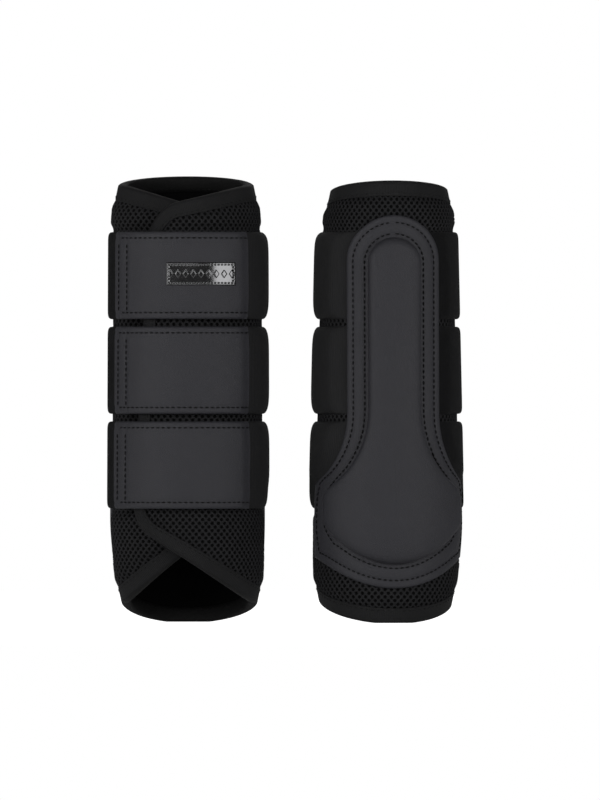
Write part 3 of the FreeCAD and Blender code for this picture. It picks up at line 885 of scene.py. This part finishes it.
def sampled(values, gone, wanted):
    """Three-part values along a line, read off at the wanted distances."""
    return np.stack([np.interp(wanted, gone, values[:, k]) for k in range(3)], -1)


def unit(directions):
    return directions / np.linalg.norm(directions, axis=1)[:, None]


def cap_ends(piece):
    """Closes the small open rings at the ends of every stitch."""
    work = bmesh.new()
    work.from_mesh(piece.data)
    bmesh.ops.holes_fill(work, edges=[e for e in work.edges if e.is_boundary], sides=5)
    bmesh.ops.recalc_face_normals(work, faces=work.faces)
    work.to_mesh(piece.data)
    work.free()


def binding_stitches(side, which):
    """A row of thread on each face of the tape, near its inner edge."""
    boot, line = BOOTS[side], OUTLINES[side, which]
    _, across = line_frame(line)
    lines = []
    for out, flip in ((0.00068, 1), (-PANEL_THICK - 0.00058, -1)):
        flat = line + across * BINDING_ROW_INSET
        flat = flat[np.abs(flat[:, 0]) > 0.001]
        lean = drawn_in(boot, flat[:, 1], BINDING_ROW_INSET)
        place, facing = on_tube(boot, angle_at(boot, flat[:, 0]), flat[:, 1], out + lean)
        lines.append((place, facing * flip))
    made = stitches(f"{side}_binding_stitches_{which}", lines, wide=0.0006, sink=0.0002)
    bend_at_fold(made)


for side in BOOTS:
    for which in FLAPS:
        sewn_edge(side, which)
        binding_stitches(side, which)

# ------------------------------------------------------------------ strike pad
# A moulded shield of foam over a hard plate, covered in coated synthetic leather. Its flange
# is sewn to the panel with two rows of thread, and it stops just short of the folds.

def grain_group():
    """Leather grain: small cells with raised middles, and finer wrinkles between them."""
    tree, entry, leave = group(
        "coated_grain",
        [("Place", "vector", None), ("Cells", "number", 1150.0)],
        [("Height", "number"), ("Worn", "number")],
    )
    cells = add(tree, "ShaderNodeTexVoronoi", feature="DISTANCE_TO_EDGE", in_0=entry.outputs["Place"])
    tree.links.new(entry.outputs["Cells"], cells.inputs["Scale"])
    edge = add(tree, "ShaderNodeMapRange", interpolation_type="SMOOTHSTEP", in_0=cells.outputs[0])
    edge.inputs[2].default_value = 0.22
    fine = add(tree, "ShaderNodeTexNoise", in_0=entry.outputs["Place"])
    fine.inputs["Scale"].default_value = 2600.0
    slow = add(tree, "ShaderNodeTexNoise", in_0=entry.outputs["Place"])
    slow.inputs["Scale"].default_value = 38.0
    slow.inputs["Detail"].default_value = 5.0
    height = calc(tree, "ADD", edge.outputs[0], calc(tree, "MULTIPLY", fine.outputs[0], 0.5))
    tree.links.new(height, leave.inputs["Height"])
    tree.links.new(slow.outputs[0], leave.inputs["Worn"])
    return tree


GRAIN = grain_group()


def coated_material():
    made, tree, shader, flat, place = blank_material("coated_leather", 0.58, specular=0.35)
    grain = use_group(tree, GRAIN, Place=place)
    colour = tint(tree, grain.outputs["Worn"], (0.0225, 0.0222, 0.0270), (0.0285, 0.0282, 0.0335))
    tree.links.new(colour, shader.inputs["Base Color"])
    rough = spread(tree, grain.outputs["Worn"], 0.52, 0.64)
    tree.links.new(rough, shader.inputs["Roughness"])
    bump(tree, grain.outputs["Height"], shader, 0.00012, 0.55)
    return made


COATED_FINISH = coated_material()


def pad_axis(outline, half):
    """The line up the pad's middle that the rings shrink to."""
    low = PAD_OUTLINES["raised"]["low_side"] + 0.004
    high = PAD_OUTLINES["raised"]["top"] - half
    return np.stack([np.zeros(len(outline)), np.clip(outline[:, 1], low, high)], -1)


FLANGE_RISE = 0.0016
SHOULDER_RISE = 0.0056
SHOULDER_RUN = 0.0042
CROWN_RISE = 0.0014
CROWN_RUN = 0.0145
PAD_ROWS = ((0.33, 0.80), (0.84, 0.66))


def strike_pad(side):
    """Rings from the flange's edge to the raised part and on to the middle line. The flange is
    flat with a groove under each thread row. The raised part's height is a quarter ellipse
    over the first 4.2 mm and a slower crown over 14.5 mm."""
    boot = BOOTS[side]
    flange, raised = pad_outline(boot, "flange"), pad_outline(boot, "raised")
    axis = pad_axis(raised, PAD_OUTLINES["raised"]["half"])
    rings, heights = [], []
    edge = ((0, 0.3), (0.02, 0.75), (0.06, 1.0), (0.14, 1.06), (0.22, 1.04))
    outer_groove = ((0.28, 0.86), (0.33, 0.76), (0.38, 0.86), (0.46, 1.02), (0.58, 1.02))
    inner_groove = ((0.70, 0.92), (0.78, 0.76), (0.84, 0.62), (0.90, 0.56), (0.96, 0.5))
    for share, rise in edge + outer_groove + inner_groove:
        rings.append(flange + (raised - flange) * share)
        heights.append(np.full(len(flange), FLANGE_RISE * rise))
    far = np.linalg.norm(axis - raised, axis=1)
    for share in (0, 0.008, 0.03, 0.07, 0.12, 0.19, 0.28, 0.39, 0.52, 0.66, 0.82, 1.0):
        inward = far * share
        steep = np.clip(inward / SHOULDER_RUN, 0, 1)
        slow = np.clip(inward / CROWN_RUN, 0, 1)
        rings.append(raised + (axis - raised) * share)
        shoulder = SHOULDER_RISE * np.sqrt(1 - (1 - steep) ** 2)
        crown = CROWN_RISE * (1 - (1 - slow) ** 2)
        heights.append(FLANGE_RISE * 0.5 + shoulder + crown)
    flat = np.stack(rings, 1)
    out = np.stack(heights, 1)
    t = angle_at(boot, flat[..., 0])
    outer, _ = on_tube(boot, t, flat[..., 1], out)
    inner, _ = on_tube(boot, t, flat[..., 1], 0.0002)
    made = thick_sheet(f"{side}_strike_pad", outer, inner, flat, [COATED_FINISH], loop=True, sharp=60)
    close_middle(made)
    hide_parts(f"{side}_strike_pad_cover", f"{side}_strike_pad_foam")
    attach(made, f"{side}_shell")
    lines = []
    for share, lift in PAD_ROWS:
        ring = flange + (raised - flange) * share
        ring = np.concatenate([ring, ring[:1]])
        lines.append(on_tube(boot, angle_at(boot, ring[:, 0]), ring[:, 1], FLANGE_RISE * lift))
    thread = stitches(f"{side}_strike_pad_stitches", lines)
    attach(thread, f"{side}_shell")


def close_middle(piece):
    """Joins the two sides of the innermost ring along the pad's middle line."""
    work = bmesh.new()
    work.from_mesh(piece.data)
    bmesh.ops.remove_doubles(work, verts=work.verts, dist=1e-6)
    bmesh.ops.dissolve_degenerate(work, edges=work.edges, dist=1e-7)
    bmesh.ops.recalc_face_normals(work, faces=work.faces)
    work.to_mesh(piece.data)
    work.free()


def plate_material():
    """Hard dark plastic, hidden under the cover."""
    made, tree, shader, flat, place = blank_material("hard_plate", 0.45)
    cloud = use_group(tree, UNEVEN, Place=place, Size=40.0, Dust=700.0)
    colour = tint(tree, cloud.outputs["Cloud"], (0.02, 0.02, 0.02), (0.035, 0.035, 0.035))
    tree.links.new(colour, shader.inputs["Base Color"])
    bump(tree, cloud.outputs["Fine"], shader, 0.0001, 0.5)
    return made


PLATE_FINISH = plate_material()


def refinish(node, finish):
    """Gives a CAD node that is kept as it is its own finish."""
    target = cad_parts[node]
    target.data.materials.clear()
    target.data.materials.append(finish)


for side in BOOTS:
    strike_pad(side)
    refinish(f"{side}_strike_pad_plate", PLATE_FINISH)

# ------------------------------------------------------------------ straps
# Three wide straps. Soft elastic runs from under the strike pad, round the side fold and the
# whole length of the strap. A cover of coated synthetic leather with turned edges is sewn over
# its outer face, with two rows of thread across the free end. Hook tape is inside that end.

ELASTIC_START = 66.0
STRAP_HINGE = -13.0
COVER_START = -39.5
STRAP_END = -151.5
BAND_BASE = 0.0002
ELASTIC_HIGH = 0.0041


def elastic_material():
    made, tree, shader, flat, place = blank_material("side_elastic", 0.75, specular=0.2)
    ribs = use_group(tree, RIBS, Place=flat, Across=0.0013, Along=0.0007)
    cloud = use_group(tree, UNEVEN, Place=place, Size=50.0, Dust=1500.0)
    base = tint(tree, cloud.outputs["Cloud"], (0.012, 0.012, 0.0125), (0.017, 0.017, 0.0178))
    # Painted shade between the ribs and painted light on the rib tops.
    colour = painted_rib_shade(tree, base, ribs.outputs["Height"], 0.5, 0.5)
    tree.links.new(colour, shader.inputs["Base Color"])
    bump(tree, ribs.outputs["Height"], shader, 0.0003, 0.8)
    return made


def loop_material():
    made, tree, shader, flat, place = blank_material("loop_tape", 0.95, sheen=0.03, specular=0.12)
    cloud = use_group(tree, UNEVEN, Place=place, Size=160.0, Dust=2400.0)
    colour = tint(tree, cloud.outputs["Cloud"], (0.004, 0.004, 0.0043), (0.008, 0.008, 0.0086))
    tree.links.new(colour, shader.inputs["Base Color"])
    tufts = calc(tree, "MULTIPLY", cloud.outputs["Cloud"], 0.6)
    height = calc(tree, "ADD", cloud.outputs["Fine"], tufts)
    bump(tree, height, shader, 0.0005, 1.0)
    return made


def hook_material():
    made, tree, shader, flat, place = blank_material("hook_tape", 0.55, specular=0.3)
    cells = add(tree, "ShaderNodeTexVoronoi", in_0=place)
    cells.inputs["Scale"].default_value = 900.0
    colour = tint(tree, cells.outputs["Distance"], (0.03, 0.03, 0.032), (0.006, 0.006, 0.006))
    tree.links.new(colour, shader.inputs["Base Color"])
    bump(tree, cells.outputs["Distance"], shader, 0.0006, 1.0)
    return made


ELASTIC_FINISH = elastic_material()
LOOP_FINISH = loop_material()
HOOK_FINISH = hook_material()


BAND_SHARES = np.sin(np.linspace(-math.pi / 2, math.pi / 2, 25))


def band_grid(boot, angles, centre, width, low, high, edge, squareness):
    """A band round the tube. Its section is flat inside and rounded outside: the outer face
    falls from high to low by the root of 1 less a power of the place across the width. low,
    high and width may change along the band. edge pulls the corner rows in."""
    t = np.asarray(angles)[:, None]
    z = centre + BAND_SHARES[None] * width / 2 + 0 * t
    full = np.sqrt(np.clip(1 - np.abs(BAND_SHARES) ** squareness, 0, 1))[None]
    out = low + edge + (high - low - edge) * full
    outer, facing = on_tube(boot, t, z, out)
    inner, _ = on_tube(boot, t, z, low * np.ones_like(out))
    s = distance_at(boot, angles)[:, None] * np.ones_like(z)
    return outer, inner, np.stack([s, z], -1), facing


def spaced(boot, first, last, z, step=0.0015):
    """Oval angles from one ray to another, at even steps."""
    a, b = angle_from_side(boot, first, z), angle_from_side(boot, last, z)
    count = max(int(abs(b - a) * boot["low"][0] / step), 4)
    return np.linspace(a, b, count)


def past_the_pad(boot, angles, centre, width):
    """How far each point of a band lies outside the strike pad's flange, on band_grid's grid."""
    heights = centre + BAND_SHARES * width / 2
    s, z = np.meshgrid(distance_at(boot, angles), heights, indexing="ij")
    places = np.stack([s.ravel(), z.ravel()], -1)
    return -inside_by(places, pad_outline(boot, "flange")).reshape(s.shape)


def side_elastic(side, name, centre):
    """From under the pad to the fold it rises from the panel to a soft thick band."""
    boot = BOOTS[side]
    angles = spaced(boot, ELASTIC_START, STRAP_HINGE + 0.3, centre)
    rise = smooth(past_the_pad(boot, angles, centre, STRAP_WIDTH), 0.0, 0.012)
    high = 0.0005 + 0.0036 * rise
    outer, inner, marks, _ = band_grid(boot, angles, centre, STRAP_WIDTH, 0.0001, high, 0.0002, 6)
    made = thick_sheet(f"{side}_side_elastic_{name}", outer, inner, marks, [ELASTIC_FINISH])
    bend_at_fold(made)
    return made


def strap_elastic(side, name, centre):
    """The strap's own elastic starts where the side elastic ends and lies under the cover."""
    boot = BOOTS[side]
    angles = spaced(boot, STRAP_HINGE + 0.3, STRAP_END + 0.8, centre)
    under = smooth(-angles, 0.62, 0.76)[:, None]
    low = BAND_BASE + 0.0016 * smooth(-angles, 0.2, 0.5)[:, None]
    high = ELASTIC_HIGH - 0.0002 * under
    outer, inner, marks, _ = band_grid(
        boot, angles, centre, STRAP_WIDTH - 0.001 * under, low, high, 0.0004, 6
    )
    made = thick_sheet(f"{side}_strap_elastic_{name}", outer, inner, marks, [ELASTIC_FINISH])
    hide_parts(f"{side}_strap_{name}_elastic")
    ray = angle_from_side(boot, STRAP_HINGE, centre)
    start, _ = on_tube(boot, ray + 0.005, centre, 0.0039)
    end, _ = on_tube(boot, ray - 0.16, centre, 0.0039)
    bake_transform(made)


COVER_LOW = 0.0037
COVER_HIGH = 0.0056
EDGE_ROW_INSET = 0.0037
END_ROW_INSETS = (0.0030, 0.0096)
PINCH_DEPTH = 0.00042
PINCH_WIDE = 0.0009
FOLD_SEEDS = {"bottom": 0.4, "middle": 2.1, "top": 4.0}


def strap_cover(side, name, centre):
    """Coated cover with turned edges: it is highest 2 mm in from each edge, pinched along the
    thread rows and a little fuller between them. It thins where it starts on the elastic."""
    boot = BOOTS[side]
    angles = spaced(boot, COVER_START, STRAP_END, centre, 0.0009)
    outer, inner, marks, facing = band_grid(
        boot, angles, centre, STRAP_WIDTH, COVER_LOW, COVER_HIGH, 0.0003, 14
    )
    z = marks[..., 1] - centre
    s = marks[..., 0] - marks[-1, 0, 0]
    from_edge = STRAP_WIDTH / 2 - np.abs(z)
    pinch = np.exp(-(((from_edge - EDGE_ROW_INSET) / PINCH_WIDE) ** 2))
    for row in END_ROW_INSETS:
        pinch = np.maximum(pinch, np.exp(-(((np.abs(s) - row) / PINCH_WIDE) ** 2)))
    full = smooth(from_edge, 0.004, 0.014) * smooth(np.abs(s), 0.010, 0.022)
    seed = FOLD_SEEDS[name] + (1.7 if side == "right" else 0)
    folds = 0.00016 * np.sin(s * 210 + 3 * np.sin(z * 60 + seed) + seed)
    change = -PINCH_DEPTH * pinch + 0.00035 * full + folds * full
    change *= smooth(from_edge, 0.0, 0.0012)
    from_start = np.abs(marks[..., 0] - marks[0, 0, 0])
    change -= 0.0011 * (1 - smooth(from_start, 0.0, 0.007))
    outer = outer + facing * change[..., None]
    made = thick_sheet(f"{side}_strap_cover_{name}", outer, inner, marks, [COATED_FINISH])
    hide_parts(f"{side}_strap_{name}_cover")
    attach(made, f"{side}_strap_{name}")
    cover_stitches(side, name, centre, angles)


def cover_stitches(side, name, centre, angles):
    """A row of thread along each long edge and two rows across the free end."""
    boot = BOOTS[side]
    out = COVER_HIGH - PINCH_DEPTH
    start, end = angles[0], angles[-1]
    length = distance_at(boot, start) - distance_at(boot, end)
    per_metre = abs((start - end) / length)
    lines = []
    for sign in (-1, 1):
        z = centre + sign * (STRAP_WIDTH / 2 - EDGE_ROW_INSET)
        row = np.linspace(start - 0.02, end + END_ROW_INSETS[0] * per_metre, 90)
        lines.append(on_tube(boot, row, z, out))
    for inset in END_ROW_INSETS:
        reach = STRAP_WIDTH / 2 - 0.0045
        z = np.linspace(centre - reach, centre + reach, 30)
        lines.append(on_tube(boot, end + inset * per_metre, z, out))
    made = stitches(f"{side}_strap_stitches_{name}", lines)
    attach(made, f"{side}_strap_{name}")


LANDING_START = 122
LANDING_END = math.pi + 0.98


def landing(side, name, centre):
    """Loop tape from under the pad, round the inner fold and on to the inner flap. It rises
    past the pad's edge and thins again where the inner flap is tucked in."""
    boot = BOOTS[side]
    angles = np.linspace(angle_from_side(boot, LANDING_START, centre), LANDING_END, 70)
    rise = smooth(past_the_pad(boot, angles, centre, STRAP_WIDTH), 0.0, 0.008)
    rise = np.where(angles[:, None] > math.pi, 1.0, rise)
    beside = 1 - smooth(angles[:, None], math.pi + 0.08, math.pi + 0.32)
    high = 0.0010 + rise * (0.0007 + 0.0014 * beside)
    outer, inner, marks, _ = band_grid(
        boot, angles, centre, STRAP_WIDTH, BAND_BASE, high, 0.0006, 20
    )
    made = thick_sheet(f"{side}_landing_{name}", outer, inner, marks, [LOOP_FINISH], sharp=35)
    bend_at_fold(made)
    return made


for side in BOOTS:
    elastics, landings = [], []
    for step, name in enumerate(STRAP_NAMES):
        centre = STRAP_LOW_CENTRE + STRAP_PITCH * step
        elastics.append(side_elastic(side, name, centre))
        strap_elastic(side, name, centre)
        strap_cover(side, name, centre)
        landings.append(landing(side, name, centre))
        refinish(f"{side}_strap_{name}_hook", HOOK_FINISH)
    for piece in elastics:
        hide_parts(f"{side}_elastic_anchors", f"{side}_elastic_folds")
    for piece in landings:
        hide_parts(f"{side}_loop_tape_shell", f"{side}_loop_tape_flap")

# ------------------------------------------------------------------ badge
# A thin die-struck metal badge, plated dark and polished, bent to the top strap. A line of
# short dashes runs inside its rim, and a row of plain lozenges fills the middle.

BADGE_WIDE = 0.040
BADGE_TALL = 0.0135
BADGE_OFFSET = 0.008
BADGE_LOW = 0.0057
BADGE_THICK = 0.0009
DASH_PITCH = 0.002
DASH_LINE_INSET = 0.0014
LOZENGE_PITCH = 0.0044


def badge_material():
    made, tree, shader, flat, place = blank_material("dark_plating", 0.2)
    shader.inputs["Metallic"].default_value = 1.0
    cloud = use_group(tree, UNEVEN, Place=place, Size=140.0, Dust=3000.0)
    colour = tint(tree, cloud.outputs["Cloud"], (0.090, 0.090, 0.092), (0.125, 0.125, 0.128))
    tree.links.new(colour, shader.inputs["Base Color"])
    rough = spread(tree, cloud.outputs["Cloud"], 0.10, 0.22)
    tree.links.new(rough, shader.inputs["Roughness"])
    bump(tree, cloud.outputs["Fine"], shader, 0.00003, 0.3)
    return made


BADGE_FINISH = badge_material()


def badge(side):
    """Heights over the badge: rounded at the rim, less a dash of 1.1 mm every 2 mm along a
    line 1.4 mm in from the edge, and plus lozenges 4.4 mm apart along the middle."""
    boot = BOOTS[side]
    centre = STRAP_LOW_CENTRE + STRAP_PITCH * 2 + 0.0008
    x = np.linspace(-BADGE_WIDE / 2, BADGE_WIDE / 2, 181)
    y = np.linspace(-BADGE_TALL / 2, BADGE_TALL / 2, 63)
    x, y = np.meshgrid(x, y, indexing="ij")
    from_x, from_y = BADGE_WIDE / 2 - np.abs(x), BADGE_TALL / 2 - np.abs(y)
    edge = np.minimum(from_x, from_y)
    rise = BADGE_THICK * np.sqrt(1 - (1 - np.clip(edge / 0.0007, 0, 1)) ** 2 * 0.85)
    along = np.where(from_y < from_x, x, y)
    dash = smooth(np.cos(along * 2 * math.pi / DASH_PITCH), -0.2, 0.3)
    line = np.exp(-(((edge - DASH_LINE_INSET) / 0.00032) ** 2))
    from_lozenge = np.abs((x + LOZENGE_PITCH / 2) % LOZENGE_PITCH - LOZENGE_PITCH / 2)
    lozenge = 1 - from_lozenge / 0.0017 - np.abs(y) / 0.0026
    relief = -0.00028 * line * dash + 0.00025 * smooth(lozenge, 0.0, 0.25)
    wide, _ = half_widths(boot, centre)
    t = -np.arccos(np.clip((BADGE_OFFSET + x) / (wide + BADGE_LOW), -1, 1))
    outer, _ = on_tube(boot, t, centre + y, BADGE_LOW + rise + relief)
    inner, _ = on_tube(boot, t, centre + y, BADGE_LOW)
    marks = np.stack([x, y], -1)
    made = thick_sheet(f"{side}_badge_plate", outer, inner, marks, [BADGE_FINISH], sharp=35)
    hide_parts(f"{side}_badge")
    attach(made, f"{side}_strap_top")


for side in BOOTS:
    badge(side)
